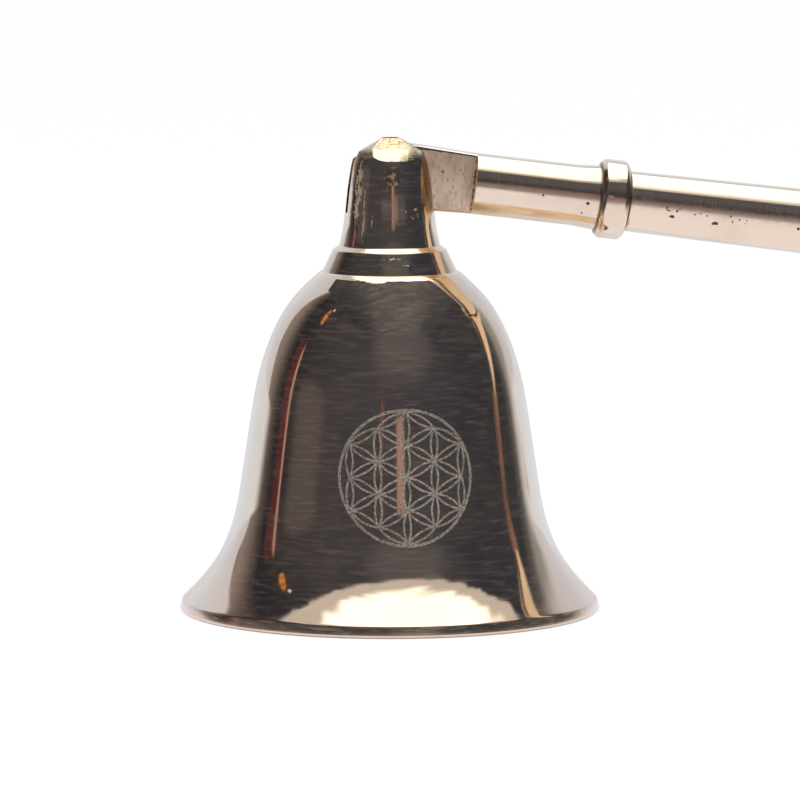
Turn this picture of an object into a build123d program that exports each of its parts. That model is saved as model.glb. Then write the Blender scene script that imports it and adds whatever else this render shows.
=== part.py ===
from build123d import *
from math import asin, atan2, cos, degrees, hypot, radians, tan
import os

# Hinged bell candle snuffer, millimetres. The origin is the centre of the mouth, +Z runs up the bell's axis
# and the handle leaves towards +X. The handle is drawn at its lowest, its tongue on the floor of the slot.

# Bell cup
mouth_diameter = 45.0
bell_height = 36.3
bell_wall = 1.7
lip_wall = 1.15
lip_height = 1.25
lip_lean = 0.28
lip_corner = 0.4
crown_wall = 2.3
crown_ledge = 0.2
brow_width = 0.55
brow_height = 0.45
ceiling_radius = 6.2
# Height above the lip as a share of the rise to the brow, and radius as a share of the mouth's
bell_outline_shares = (
    (0.050, 0.912),
    (0.126, 0.822),
    (0.235, 0.748),
    (0.380, 0.703),
    (0.553, 0.662),
    (0.698, 0.620),
    (0.829, 0.551),
    (0.925, 0.464),
)

# Slotted post: a stepped foot, a stem with two cheeks and a threaded spigot
foot_radius = 7.15
foot_height = 2.3
foot_top_radius = 6.05
ledge_height = 0.43
stem_radius = 5.4
stem_height = 10.1
cap_edge_radius = 3.6
cap_height = 1.35
cap_top_radius = 1.5
pin_height = 10.35
slot_depth = 4.05
spigot_radius = 2.5
spigot_length = 7.4
spigot_chamfer = 0.4
# Height as a share of the stem's, and radius as a share of the stem's at its foot
stem_outline_shares = (
    (0.128, 0.941),
    (0.337, 0.887),
    (0.565, 0.846),
    (0.763, 0.795),
    (0.910, 0.738),
)

# Washer and nut inside the crown
washer_radius = 4.7
washer_thickness = 0.8
nut_across_flats = 8.0
nut_height = 3.2
nut_chamfer_angle = 30.0

# Pivot pin, riveted flush in the cheeks
pin_radius = 1.0

# Handle neck: a round rod, filed to a flat tongue with an eye
eye_radius = 3.6
tongue_thickness = 2.2
tongue_length = 9.0
neck_radius = 3.25
neck_flare_radius = 3.45
neck_flare_length = 2.4

# Collars over the joints of the handle
collar_width = 3.05
collar_radius = 4.22
collar_chamfer = 0.45
collar_seat_radius = 2.95
neck_collar_start = 22.4

# Shank: brass rod from the middle of the neck collar to the grip
shank_length = 59.0
shank_start_radius = 3.22
shank_middle_radius = 3.54
shank_end_radius = 3.72
groove_width = 0.55
groove_depth = 0.18
joint_radius = 2.0
joint_length = 10.0

# Grip: turned wood from the shank to the middle of the end collar, with a bead between two grooves
grip_length = 99.5
grip_start_radius = 3.95
grip_start_chamfer = 0.35
grip_thickest_radius = 6.1
grip_end_radius = 3.2
bead_width = 3.4
bead_rise = 0.3
bead_groove_width = 0.7
bead_groove_depth = 0.6
bead_place_share = 0.5
# Place as a share of the length from the grip's start to the bead, or from the bead to the end collar, and radius
# as a share of the thickest
grip_front_shares = (
    (0.28, 0.790),
    (0.62, 0.925),
    (1.00, 0.985),
)
grip_back_shares = (
    (0.00, 0.985),
    (0.38, 1.000),
    (0.72, 0.840),
)

# End knob
knob_radius = 5.2
knob_cove_radius = 2.3
knob_cove_length = 3.2
knob_tip_radius = 1.5
knob_tip_length = 1.3
knob_tip_chamfer = 0.5

# Clearances, each on the radius or on one side
running_clearance = 0.05
slot_clearance = 0.1
rest_clearance = 0.05
rivet_clearance = 0.01
thread_clearance = 0.03
bolt_clearance = 0.1
braze_clearance = 0.02
socket_end_clearance = 0.5

# Overrun of cuts past the faces they open
cut_overrun = 1.0

# Places that follow from the sizes
mouth_radius = mouth_diameter / 2
seat_radius = foot_radius + crown_ledge
brow_radius = seat_radius + brow_width
brow_z = bell_height - brow_height
ceiling_z = bell_height - crown_wall
foot_top_z = bell_height + foot_height
stem_z = foot_top_z + ledge_height
cap_edge_z = stem_z + stem_height
cap_top_z = cap_edge_z + cap_height
pin_z = bell_height + pin_height
slot_floor_z = pin_z - slot_depth
collar_joint = neck_collar_start + collar_width / 2
shank_end = collar_joint + shank_length
grip_end = shank_end + grip_length
end_collar_start = grip_end - collar_width / 2
knob_start = end_collar_start + collar_width


def bell_points():
    """The bell's outer line, from the top of the lip to the brow under the crown, as radius and height."""
    rise = brow_z - lip_height
    inner = [(share * mouth_radius, lip_height + high * rise) for high, share in bell_outline_shares]
    return [(mouth_radius - lip_lean, lip_height)] + inner + [(brow_radius, brow_z)]


def wall_points(points, wall):
    """The points between the first and the last, each moved by the wall square to its neighbours' line."""
    moved = []
    for before, (radius, height), after in zip(points, points[1:], points[2:]):
        out, up = after[0] - before[0], after[1] - before[1]
        length = hypot(out, up)
        moved.append((radius - wall * up / length, height + wall * out / length))
    return moved


def stem_points():
    """The stem's outer line, from the ledge to the edge of the cap, as radius and height."""
    inner = [(share * stem_radius, stem_z + high * stem_height) for high, share in stem_outline_shares]
    return [(stem_radius, stem_z)] + inner + [(cap_edge_radius, cap_edge_z)]


def stem_radius_at(height):
    """The stem's radius at a height between its outline's points."""
    points = stem_points()
    for (low_radius, low_z), (high_radius, high_z) in zip(points, points[1:]):
        if height <= high_z:
            return low_radius + (high_radius - low_radius) * (height - low_z) / (high_z - low_z)
    return cap_edge_radius


def resting_droop():
    """Degrees below level at which the tongue's lower edge meets the outer edge of the slot's floor."""
    taper = (eye_radius - neck_radius) / tongue_length
    reach = stem_radius_at(slot_floor_z)
    across = reach - taper * slot_depth
    down = slot_depth + taper * reach
    return degrees(atan2(down, across) - asin((eye_radius + rest_clearance) / hypot(across, down)))


def turned(edges, axis):
    """A solid turned about an axis from the closed outline of half its section."""
    return revolve(make_face(edges), axis)


def upright(points):
    """Points given as radius and height, on the half section of a piece on the bell's axis."""
    return [Vector(radius, 0, height) for radius, height in points]


def lengthwise(points):
    """Points given as distance from the pin and radius, on the half section of a piece of the handle."""
    return [Vector(along, 0, radius) for along, radius in points]


def make_bell():
    """Turned cup with a thin lip, a flat ceiling inside the crown and a bore for the post's spigot."""
    outer = bell_points()
    inner = [(mouth_radius - lip_wall, 0)] + wall_points(outer, bell_wall) + [(ceiling_radius, ceiling_z)]
    bore_radius = spigot_radius + bolt_clearance
    outside, inside = upright(outer), upright(inner)
    crown = upright([(seat_radius, bell_height), (bore_radius, bell_height), (bore_radius, ceiling_z)])
    edges = [
        Spline(outside),
        Polyline([outside[-1]] + crown + [inside[-1]]),
        Spline(inside),
        Polyline([inside[0], Vector(mouth_radius, 0, 0), outside[0]]),
    ]
    cup = turned(Curve() + edges, Axis.Z)
    rim = cup.edges().filter_by(GeomType.CIRCLE).group_by(Axis.Z)[0].sort_by(SortBy.RADIUS)
    return fillet(rim[-1], lip_corner)


def post_blank():
    """The post before it is slotted: foot, ledge, stem and bevelled cap, solid to the axis."""
    stem = upright(stem_points())
    cap = upright([(cap_top_radius, cap_top_z), (0, cap_top_z), (0, bell_height)])
    foot = upright([(foot_radius, bell_height), (foot_top_radius, foot_top_z)])
    edges = [Spline(stem), Polyline([stem[-1]] + cap + foot + [stem[0]])]
    return turned(Curve() + edges, Axis.Z)


def make_post():
    """Post with its slot along X, its pin holes along Y and the spigot that goes through the bell's crown."""
    slot_width = tongue_thickness + 2 * slot_clearance
    slot_height = cap_top_z - slot_floor_z + cut_overrun
    slot = Pos(0, 0, slot_floor_z + slot_height / 2) * Box(2 * foot_radius, slot_width, slot_height)
    holes = Pos(0, 0, pin_z) * Rot(90, 0, 0) * Cylinder(pin_radius + rivet_clearance, 2 * foot_radius)
    spigot = Pos(0, 0, bell_height - spigot_length / 2) * Cylinder(spigot_radius, spigot_length)
    spigot = chamfer(spigot.edges().group_by(Axis.Z)[0], spigot_chamfer)
    return post_blank() - slot - holes + spigot


def make_washer():
    """Flat ring under the nut, against the ceiling of the crown."""
    hole = Cylinder(spigot_radius + bolt_clearance, washer_thickness)
    ring = Cylinder(washer_radius, washer_thickness) - hole
    return Pos(0, 0, ceiling_z - washer_thickness / 2) * ring


def make_nut():
    """Hexagon nut with both faces chamfered, its thread a plain bore."""
    corner_radius = nut_across_flats / 2 / cos(radians(nut_chamfer_angle))
    corner_drop = (corner_radius - nut_across_flats / 2) * tan(radians(nut_chamfer_angle))
    half = nut_height / 2
    edge = half - corner_drop
    flat = nut_across_flats / 2
    block = extrude(RegularPolygon(corner_radius, 6), half, both=True)
    lower = [(0, -half), (flat, -half), (corner_radius, -edge)]
    upper = [(corner_radius, edge), (flat, half), (0, half)]
    cone = Polyline(upright(lower + upper), close=True)
    bore = Cylinder(spigot_radius + thread_clearance, nut_height)
    nut = (block & turned(cone, Axis.Z)) - bore
    return Pos(0, 0, ceiling_z - washer_thickness - half) * nut


def make_pin():
    """Round pin across the slot, its ends hammered and filed flush with the cheeks."""
    rod = Pos(0, 0, pin_z) * Rot(90, 0, 0) * Cylinder(pin_radius, 2 * foot_radius)
    return rod & post_blank()


def hung(piece):
    """A piece of the handle, drawn level from the pin, put on the pin and drooped to its rest."""
    return Pos(0, 0, pin_z) * Rot(0, resting_droop(), 0) * piece


def joint_spigot(start):
    """Plain spigot that joins two lengths of the handle."""
    return Pos(start + joint_length / 2, 0, 0) * Rot(0, 90, 0) * Cylinder(joint_radius, joint_length)


def joint_socket(start):
    """Bore that takes a joint spigot, a little deeper than the spigot is long."""
    depth = joint_length + socket_end_clearance
    return Pos(start + depth / 2, 0, 0) * Rot(0, 90, 0) * Cylinder(joint_radius + braze_clearance, depth)


def make_neck():
    """Tongue with its eye, round front rod, seat for half of the collar and spigot for the grip."""
    outline = Polyline(
        lengthwise([
            (-eye_radius, 0),
            (-eye_radius, eye_radius),
            (0, eye_radius),
            (tongue_length, neck_radius),
            (neck_collar_start - neck_flare_length, neck_radius),
            (neck_collar_start, neck_flare_radius),
            (neck_collar_start, collar_seat_radius),
            (collar_joint, collar_seat_radius),
            (collar_joint, 0),
        ]),
        close=True,
    )
    rod = turned(outline, Axis.X)
    side = eye_radius - tongue_thickness / 2 + cut_overrun
    cut_length = tongue_length + eye_radius + cut_overrun
    cut = Box(cut_length, side, 2 * eye_radius + 2 * cut_overrun)
    for way in (-1, 1):
        rod -= Pos(tongue_length - cut_length / 2, way * (tongue_thickness / 2 + side / 2), 0) * cut
    eye_corner = Pos(-eye_radius, 0, 0) * Box(2 * eye_radius, tongue_thickness, 2 * eye_radius)
    eye_round = Rot(90, 0, 0) * Cylinder(eye_radius, tongue_thickness)
    eye_bore = Rot(90, 0, 0) * Cylinder(pin_radius + running_clearance, tongue_thickness)
    return hung(rod - (eye_corner - eye_round) - eye_bore + joint_spigot(collar_joint))


def make_collar(start):
    """Turned ring with chamfered edges, brazed over a joint of the handle."""
    bore = collar_seat_radius + braze_clearance
    end = start + collar_width
    outline = Polyline(
        lengthwise([
            (start, bore),
            (start, collar_radius - collar_chamfer),
            (start + collar_chamfer, collar_radius),
            (end - collar_chamfer, collar_radius),
            (end, collar_radius - collar_chamfer),
            (end, bore),
        ]),
        close=True,
    )
    return hung(turned(outline, Axis.X))


def make_shank():
    """Brass rod that swells slowly, with a seat, a groove and a socket at the neck and a spigot for the grip."""
    front = neck_collar_start + collar_width
    swell = lengthwise([
        (front + groove_width, shank_start_radius),
        ((front + shank_end) / 2, shank_middle_radius),
        (shank_end, shank_end_radius),
    ])
    rest = lengthwise([
        (shank_end, 0),
        (collar_joint, 0),
        (collar_joint, collar_seat_radius),
        (front, collar_seat_radius),
        (front, shank_start_radius - groove_depth),
        (front + groove_width - groove_depth, shank_start_radius - groove_depth),
    ])
    rod = turned(Curve() + [ThreePointArc(*swell), Polyline([swell[-1]] + rest + [swell[0]])], Axis.X)
    return hung(rod - joint_socket(collar_joint) + joint_spigot(shank_end))


def make_grip():
    """Turned wooden grip: thickest past its bead, with a socket at each end and a seat for the end collar."""
    front_start = shank_end + grip_start_chamfer
    back_end = end_collar_start - groove_width
    bead_middle = shank_end + (end_collar_start - shank_end) * bead_place_share
    bead_start, bead_end = bead_middle - bead_width / 2, bead_middle + bead_width / 2
    front_end, back_start = bead_start - bead_groove_width, bead_end + bead_groove_width
    front = [(front_start, grip_start_radius)]
    for along, radius in grip_front_shares:
        front.append((front_start + along * (front_end - front_start), radius * grip_thickest_radius))
    back = []
    for along, radius in grip_back_shares:
        back.append((back_start + along * (back_end - back_start), radius * grip_thickest_radius))
    back.append((back_end, grip_end_radius))
    floor_radius = front[-1][1] - bead_groove_depth
    bead = lengthwise([
        (bead_start, floor_radius),
        (bead_middle, front[-1][1] + bead_rise),
        (bead_end, floor_radius),
    ])
    rest = lengthwise([
        (end_collar_start - groove_width + groove_depth, grip_end_radius - groove_depth),
        (end_collar_start, grip_end_radius - groove_depth),
        (end_collar_start, collar_seat_radius),
        (grip_end, collar_seat_radius),
        (grip_end, 0),
        (shank_end, 0),
        (shank_end, grip_start_radius - grip_start_chamfer),
    ])
    front, back = lengthwise(front), lengthwise(back)
    edges = [
        Spline(front),
        Line(front[-1], bead[0]),
        ThreePointArc(*bead),
        Line(bead[-1], back[0]),
        Spline(back),
        Polyline([back[-1]] + rest + [front[0]]),
    ]
    body = turned(Curve() + edges, Axis.X)
    far_socket = joint_socket(grip_end - joint_length - socket_end_clearance)
    return hung(body - joint_socket(shank_end) - far_socket)


def make_knob():
    """Turned finial: seat for half of the collar, cove, ball and tip, with a spigot in the grip."""
    ball_start = knob_start + knob_cove_length
    ball_reach = (knob_radius**2 - knob_cove_radius**2) ** 0.5
    ball_centre = ball_start + ball_reach
    tip_reach = (knob_radius**2 - knob_tip_radius**2) ** 0.5
    tip_start = ball_centre + tip_reach
    tip_end = tip_start + knob_tip_length
    cove_middle = (knob_start + knob_cove_length / 2, (knob_cove_radius + grip_end_radius) / 2 - groove_depth)
    cove = lengthwise([(knob_start, grip_end_radius), cove_middle, (ball_start, knob_cove_radius)])
    ball = lengthwise([
        (ball_start, knob_cove_radius),
        (ball_centre, knob_radius),
        (tip_start, knob_tip_radius),
    ])
    rest = lengthwise([
        (tip_start, knob_tip_radius),
        (tip_end - knob_tip_chamfer, knob_tip_radius),
        (tip_end, knob_tip_radius - knob_tip_chamfer),
        (tip_end, 0),
        (grip_end, 0),
        (grip_end, collar_seat_radius),
        (knob_start, collar_seat_radius),
        (knob_start, grip_end_radius),
    ])
    body = turned(Curve() + [ThreePointArc(*cove), ThreePointArc(*ball), Polyline(rest)], Axis.X)
    return hung(body + joint_spigot(grip_end - joint_length))


pieces = {
    "bell": make_bell(),
    "slotted_post": make_post(),
    "post_washer": make_washer(),
    "post_nut": make_nut(),
    "pivot_pin": make_pin(),
    "handle_neck": make_neck(),
    "neck_collar": make_collar(neck_collar_start),
    "handle_shank": make_shank(),
    "handle_grip": make_grip(),
    "end_collar": make_collar(end_collar_start),
    "end_knob": make_knob(),
}

os.makedirs("parts", exist_ok=True)
for name, piece in pieces.items():
    export_step(piece, f"parts/{name}.step")

print(f"pin at z {pin_z:.3f} mm, droop at rest {resting_droop():.3f} degrees")
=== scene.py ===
from math import atan2, cos, degrees, hypot, pi, radians, sin, sqrt
import bmesh
import bpy
import numpy as np
from mathutils import Matrix, Vector, noise


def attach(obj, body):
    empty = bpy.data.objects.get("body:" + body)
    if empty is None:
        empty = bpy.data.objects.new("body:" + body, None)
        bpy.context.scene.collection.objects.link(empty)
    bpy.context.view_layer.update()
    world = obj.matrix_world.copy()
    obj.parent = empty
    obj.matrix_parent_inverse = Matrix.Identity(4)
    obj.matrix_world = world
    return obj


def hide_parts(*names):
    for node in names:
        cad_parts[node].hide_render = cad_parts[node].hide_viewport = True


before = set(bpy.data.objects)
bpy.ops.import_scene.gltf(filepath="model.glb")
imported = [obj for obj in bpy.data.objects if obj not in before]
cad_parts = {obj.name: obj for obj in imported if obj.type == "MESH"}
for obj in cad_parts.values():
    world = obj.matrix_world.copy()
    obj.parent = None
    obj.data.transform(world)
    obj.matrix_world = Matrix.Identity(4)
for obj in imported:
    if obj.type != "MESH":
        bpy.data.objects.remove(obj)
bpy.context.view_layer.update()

# Bell cup
# The cup that is lowered over the flame: cast in pale brass, turned inside and out on a lathe, then polished
# bright outside by hand, so that its skin mirrors the room with a slight ripple. Inside it stays as turned.
mm = 0.001
touching = 0.01
mouth_radius = 22.5
bell_height = 36.3
bell_wall = 1.7
lip_wall = 1.15
lip_height = 1.25
lip_lean = 0.28
lip_corner = 0.4
crown_wall = 2.3
brow_radius = 7.9
brow_height = 0.45
seat_radius = 7.35
ceiling_radius = 6.2
crown_bore = 2.6
bell_outline_shares = (
    (0.050, 0.912),
    (0.126, 0.822),
    (0.235, 0.748),
    (0.380, 0.703),
    (0.553, 0.662),
    (0.698, 0.620),
    (0.829, 0.551),
    (0.925, 0.464),
)
bell_turns = 340
outer_step = 0.27
inner_step = 0.8
lip_edge_round = 0.10
crown_edge_round = 0.09
ripple_height = 0.0035
ripple_length = 4.5
ripple_start = 1.5
beaten_height = 0.05
beaten_length = 0.55
# Bearing and height of the middle, reach along the skin and rise
beaten_patch = (-14, 35.35, 2.7, 0.75)
# Bearing, height, width and depth
brow_dents = (
    (-31, 35.5, 0.35, 0.03),
    (-24, 34.9, 0.40, 0.04),
    (-20, 34.5, 0.30, 0.03),
    (-12, 35.0, 0.50, 0.03),
    (-5, 35.3, 0.45, 0.03),
    (3, 35.6, 0.45, 0.03),
    (14, 35.5, 0.35, 0.02),
)
champagne = (0.88, 0.69, 0.47, 1)
turned_brass = (0.70, 0.52, 0.36, 1)
lip_champagne = (0.84, 0.64, 0.43, 1)
lip_painted_shade = (0.46, 0.42, 0.44, 1)


def curve_through(points, step):
    """Points about a step apart along the smoothest curve through the given ones."""
    points = np.array(points)
    gaps = np.linalg.norm(np.diff(points, axis=0), axis=1)
    along = np.concatenate(([0], np.cumsum(gaps)))
    matrix = np.eye(len(points))
    pull = np.zeros_like(points)
    for k in range(1, len(points) - 1):
        before, after = gaps[k - 1], gaps[k]
        matrix[k, k - 1:k + 2] = before, 2 * (before + after), after
        pull[k] = 6 * ((points[k + 1] - points[k]) / after - (points[k] - points[k - 1]) / before)
    bend = np.linalg.solve(matrix, pull)
    curve = []
    for place in np.linspace(0, along[-1], round(along[-1] / step) + 1):
        k = min(np.searchsorted(along, place, side="right") - 1, len(gaps) - 1)
        gap = gaps[k]
        near, far = (along[k + 1] - place) / gap, (place - along[k]) / gap
        arc = ((near**3 - near) * bend[k] + (far**3 - far) * bend[k + 1]) * gap**2 / 6
        curve.append(tuple(near * points[k] + far * points[k + 1] + arc))
    return curve


def lathe(outline, turns):
    """Half a section, given as radius and height, spun round the upright axis and closed."""
    shape = bmesh.new()
    verts = [shape.verts.new((radius, 0, height)) for radius, height in outline]
    closed = outline[0][0] > 0
    ends = verts[1:] + verts[:1] if closed else verts[1:]
    edges = [shape.edges.new(pair) for pair in zip(verts, ends)]
    bmesh.ops.spin(shape, geom=verts + edges, axis=(0, 0, 1), angle=2 * pi, steps=turns, use_merge=True)
    bmesh.ops.remove_doubles(shape, verts=shape.verts, dist=0.0005)
    bmesh.ops.recalc_face_normals(shape, faces=shape.faces)
    return shape


def soften(shape, size, above=25, where=None, steps=2):
    """Rounds the edges where faces meet more sharply than an angle."""
    sharp = []
    for edge in shape.edges:
        if edge.is_manifold and edge.calc_face_angle() > radians(above):
            if where is None or all(where(vert.co) for vert in edge.verts):
                sharp.append(edge)
    bmesh.ops.bevel(
        shape, geom=sharp, offset=size, segments=steps, profile=0.5, affect="EDGES",
        clamp_overlap=True, material=-1
    )


def bearing_of(place):
    """Degrees round the upright axis, 0 at the front and positive to the right."""
    return degrees(atan2(place.x, -place.y))


def ripple(shape, height, length, weight):
    """Moves the skin in and out by noise, as hand work leaves it, by the weight at each place."""
    shape.normal_update()
    for vert in shape.verts:
        share = weight(vert.co)
        if share > 0:
            vert.co += vert.normal * height * share * noise.noise(vert.co / length)


def patch(bearing, height, reach, rise):
    """A weight that fades to nothing at a reach along the skin and a rise over a point of it."""
    def weight(place):
        if place.y > 0:
            return 0
        across = hypot(place.x, place.y) * radians(bearing_of(place) - bearing) / reach
        return max(0, 1 - across**2 - ((place.z - height) / rise) ** 2)
    return weight


def dent(shape, bearing, height, width, depth):
    """A small hollow knocked into the skin."""
    weight = patch(bearing, height, width, width)
    for vert in shape.verts:
        share = weight(vert.co)
        if share > 0:
            vert.co -= vert.normal * depth * share**2


def mesh_of(shape, name):
    """The mesh of a shape, which is used up."""
    mesh = bpy.data.meshes.new(name)
    shape.to_mesh(mesh)
    shape.free()
    return mesh


def add_object(name, data):
    """An object in the scene that shows a mesh, a light or a camera."""
    made = bpy.data.objects.new(name, data)
    bpy.context.scene.collection.objects.link(made)
    return made


def piece(shape, name, body, nodes, finishes, place=Matrix(), crease=30):
    """Makes the finished object from a shape in millimetres and sets it in the frame."""
    bmesh.ops.transform(shape, matrix=Matrix.Scale(mm, 4) @ place, verts=shape.verts)
    for face in shape.faces:
        face.smooth = True
    for edge in shape.edges:
        edge.smooth = edge.is_manifold and edge.calc_face_angle() < radians(crease)
    mesh = mesh_of(shape, name)
    for finish in finishes:
        mesh.materials.append(finish)
    made = add_object(name, mesh)
    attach(made, body)
    if nodes:
        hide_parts(*nodes)


def node(tree, kind, inputs=None, **settings):
    """A shader node with its settings, and a value or a wire for each named input."""
    made = tree.nodes.new("ShaderNode" + kind)
    for key, value in settings.items():
        setattr(made, key, value)
    for key, value in (inputs or {}).items():
        if isinstance(value, bpy.types.NodeSocket):
            tree.links.new(value, made.inputs[key])
        else:
            made.inputs[key].default_value = value
    return made


def calc(tree, operation, *values):
    """The result of a sum on wires and numbers."""
    return node(tree, "Math", dict(enumerate(values)), operation=operation).outputs[0]


def times(tree, first, second):
    """Two values multiplied, such as a mask by another."""
    return calc(tree, "MULTIPLY", first, second)


def apart(tree, first, second):
    """How far two values lie apart."""
    return calc(tree, "ABSOLUTE", calc(tree, "SUBTRACT", first, second))


def fade(tree, value, start, end, low=0.0, high=1.0):
    """A soft step from low to high while the value goes from start to end."""
    sockets = {"Value": value, "From Min": start, "From Max": end, "To Min": low, "To Max": high}
    return node(tree, "MapRange", sockets, interpolation_type="SMOOTHSTEP").outputs[0]


def tint(tree, factor, first, second, way="MIX"):
    """Two colours mixed."""
    return node(tree, "Mix", {0: factor, 6: first, 7: second}, data_type="RGBA", blend_type=way).outputs[2]


def axes(tree, place):
    """X, Y and Z of a place."""
    return node(tree, "SeparateXYZ", {0: place}).outputs


def scaled(tree, place, scale):
    """A place scaled along each axis."""
    return node(tree, "Mapping", {"Vector": place, "Scale": scale}).outputs[0]


def millimetres(tree):
    """The place on the object in millimetres."""
    return scaled(tree, node(tree, "TexCoord").outputs["Object"], (1 / mm,) * 3)


def stretched(tree, place, scale, turn=(0, 0, 0)):
    """The place on the object, turned and then stretched for a pattern."""
    turned = node(tree, "Mapping", {"Vector": place, "Rotation": turn}, vector_type="TEXTURE").outputs[0]
    return scaled(tree, turned, scale)


def new_group(name, takes, gives):
    """An empty node group with its sockets."""
    tree = bpy.data.node_groups.new(name, "ShaderNodeTree")
    for side, sockets in (("INPUT", takes), ("OUTPUT", gives)):
        for label, kind in sockets.items():
            tree.interface.new_socket(label, in_out=side, socket_type="NodeSocket" + kind)
    return tree, tree.nodes.new("NodeGroupInput").outputs, tree.nodes.new("NodeGroupOutput").inputs


def noise_on(tree, vector, detail=2.0, scale=1.0, **more):
    """Noise from 0 to 1 on a place or a pattern vector."""
    inputs = {"Vector": vector, "Scale": scale, "Detail": detail, **more}
    return node(tree, "TexNoise", inputs).outputs[0]


# Rings left by the polishing wheel: fine lines square to the turning axis, which is Z, in millimetres
wheel_lines, takes, gives = new_group(
    "wheel lines", {"Place": "Vector"}, {"Height": "Float", "Haze": "Float"}
)
fine = noise_on(wheel_lines, stretched(wheel_lines, takes["Place"], (0.5, 0.5, 11)), 3.0)
broad = noise_on(wheel_lines, stretched(wheel_lines, takes["Place"], (0.42, 0.42, 3.4)), 3.0)
wheel_lines.links.new(calc(wheel_lines, "MULTIPLY_ADD", broad, 0.6, fine), gives["Height"])
streaks = times(wheel_lines, fade(wheel_lines, broad, 0.42, 0.7), fade(wheel_lines, fine, 0.3, 0.75))
wheel_lines.links.new(streaks, gives["Haze"])

# Handling: smudges, and hair scratches that run in all directions and break off
handling, takes, gives = new_group("handling", {"Place": "Vector"}, {"Scratch": "Float", "Smudge": "Float"})
scratch = 0.0
for turn in ((0.3, 0.2, 0.9), (1.2, 0.5, 0.1), (0.7, 1.3, 2.1)):
    line = noise_on(handling, stretched(handling, takes["Place"], (0.06, 1.9, 1.9), turn), 0.0)
    hair = fade(handling, apart(handling, line, 0.5), 0.012, 0.0)
    scratch = calc(handling, "MAXIMUM", scratch, hair)
sparse = noise_on(handling, takes["Place"], 1.0, 0.35)
handling.links.new(calc(handling, "MULTIPLY", scratch, fade(handling, sparse, 0.5, 0.62)), gives["Scratch"])
cloud = noise_on(handling, takes["Place"], 5.0, 0.16, Roughness=0.6)
handling.links.new(fade(handling, cloud, 0.4, 0.68), gives["Smudge"])


def new_material(name):
    """A material and its node tree."""
    material = bpy.data.materials.new(name)
    material.use_nodes = True
    return material, material.node_tree


def feed(tree, label, value):
    """Wires a value to an input of the finish."""
    tree.links.new(value, tree.nodes["Principled BSDF"].inputs[label])


def fed(tree, label):
    """What is wired to an input of the finish."""
    return tree.nodes["Principled BSDF"].inputs[label].links[0].from_socket


def relief(tree, height, depth):
    """Bump on the finish, of a depth in millimetres."""
    bump = node(tree, "Bump", {"Height": height, "Distance": depth * mm, "Strength": 1.0})
    feed(tree, "Normal", bump.outputs[0])


def add_roughness(tree, mask, amount):
    """Makes a finish rougher where a mask is 1."""
    feed(tree, "Roughness", calc(tree, "MULTIPLY_ADD", mask, amount, fed(tree, "Roughness")))


def lay_colour(tree, mask, colour, way="MIX"):
    """Lays a colour over a finish where a mask is 1, be it a real stain or painted shade."""
    feed(tree, "Base Color", tint(tree, mask, fed(tree, "Base Color"), colour, way))


def strip_metal(tree, mask, share):
    """Turns a share of the metal into dull matter where a mask is 1."""
    left = calc(tree, "MULTIPLY_ADD", mask, -share, 1.0)
    feed(tree, "Metallic", times(tree, fed(tree, "Metallic"), left))


def brass(name, colour, roughness, turn=(0, 0, 0), lines=1.0, haze=0.1, film=0.03):
    """Polished brass with wheel lines square to the turned Z axis, to whose tree more effects are added.

    The lines are bumps of so many thousandths of a millimetre, haze adds roughness in streaks, scratches
    and smudges, and film is the share of the metal that they hide.
    """
    material, tree = new_material(name)
    place = millimetres(tree)
    along = node(tree, "Mapping", {"Vector": place, "Rotation": turn}).outputs[0]
    rings = node(tree, "Group", {"Place": along}, node_tree=wheel_lines).outputs
    marks = node(tree, "Group", {"Place": place}, node_tree=handling).outputs
    dull = times(tree, rings["Haze"], haze)
    dull = calc(tree, "MULTIPLY_ADD", marks["Scratch"], 0.8 * haze, dull)
    dull = calc(tree, "MULTIPLY_ADD", marks["Smudge"], 0.6 * haze, dull)
    clean = calc(tree, "MULTIPLY_ADD", marks["Smudge"], -0.4 * film, 1.0)
    clean = calc(tree, "MULTIPLY_ADD", rings["Haze"], -2.0 * film, clean)
    darker = tuple(0.93 * part for part in colour[:3]) + (1,)
    feed(tree, "Metallic", clean)
    feed(tree, "Roughness", calc(tree, "ADD", dull, roughness))
    feed(tree, "Base Color", tint(tree, marks["Smudge"], colour, darker))
    relief(tree, rings["Height"], 0.001 * lines)
    return material


def wall_points(points, wall):
    """The points between the first and the last, moved in by the wall."""
    moved = []
    for before, (radius, height), after in zip(points, points[1:], points[2:]):
        out, up = after[0] - before[0], after[1] - before[1]
        length = hypot(out, up)
        moved.append((radius - wall * up / length, height + wall * out / length))
    return moved


brow_z = bell_height - brow_height
ceiling_height = bell_height - crown_wall
outer = [(mouth_radius - lip_lean, lip_height)]
for high, share in bell_outline_shares:
    outer.append((share * mouth_radius, lip_height + high * (brow_z - lip_height)))
outer.append((brow_radius, brow_z))
inner = [(mouth_radius - lip_wall, 0)] + wall_points(outer, bell_wall) + [(ceiling_radius, ceiling_height)]
outer_curve = curve_through(outer, outer_step)
crown = [(seat_radius, bell_height), (crown_bore, bell_height), (crown_bore, ceiling_height)]
section = outer_curve + crown + curve_through(inner[::-1], inner_step) + [(mouth_radius, 0)]
shape = lathe(section, bell_turns)


def at_rim(place):
    """Whether a place is at the outer edge of the mouth."""
    return hypot(place.x, place.y) > mouth_radius - touching and place.z < touching


def at_lip_top(place):
    """Whether a place is at the outer edge on top of the lip."""
    return abs(place.z - lip_height) < touching and hypot(place.x, place.y) > mouth_radius - lip_wall


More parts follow.
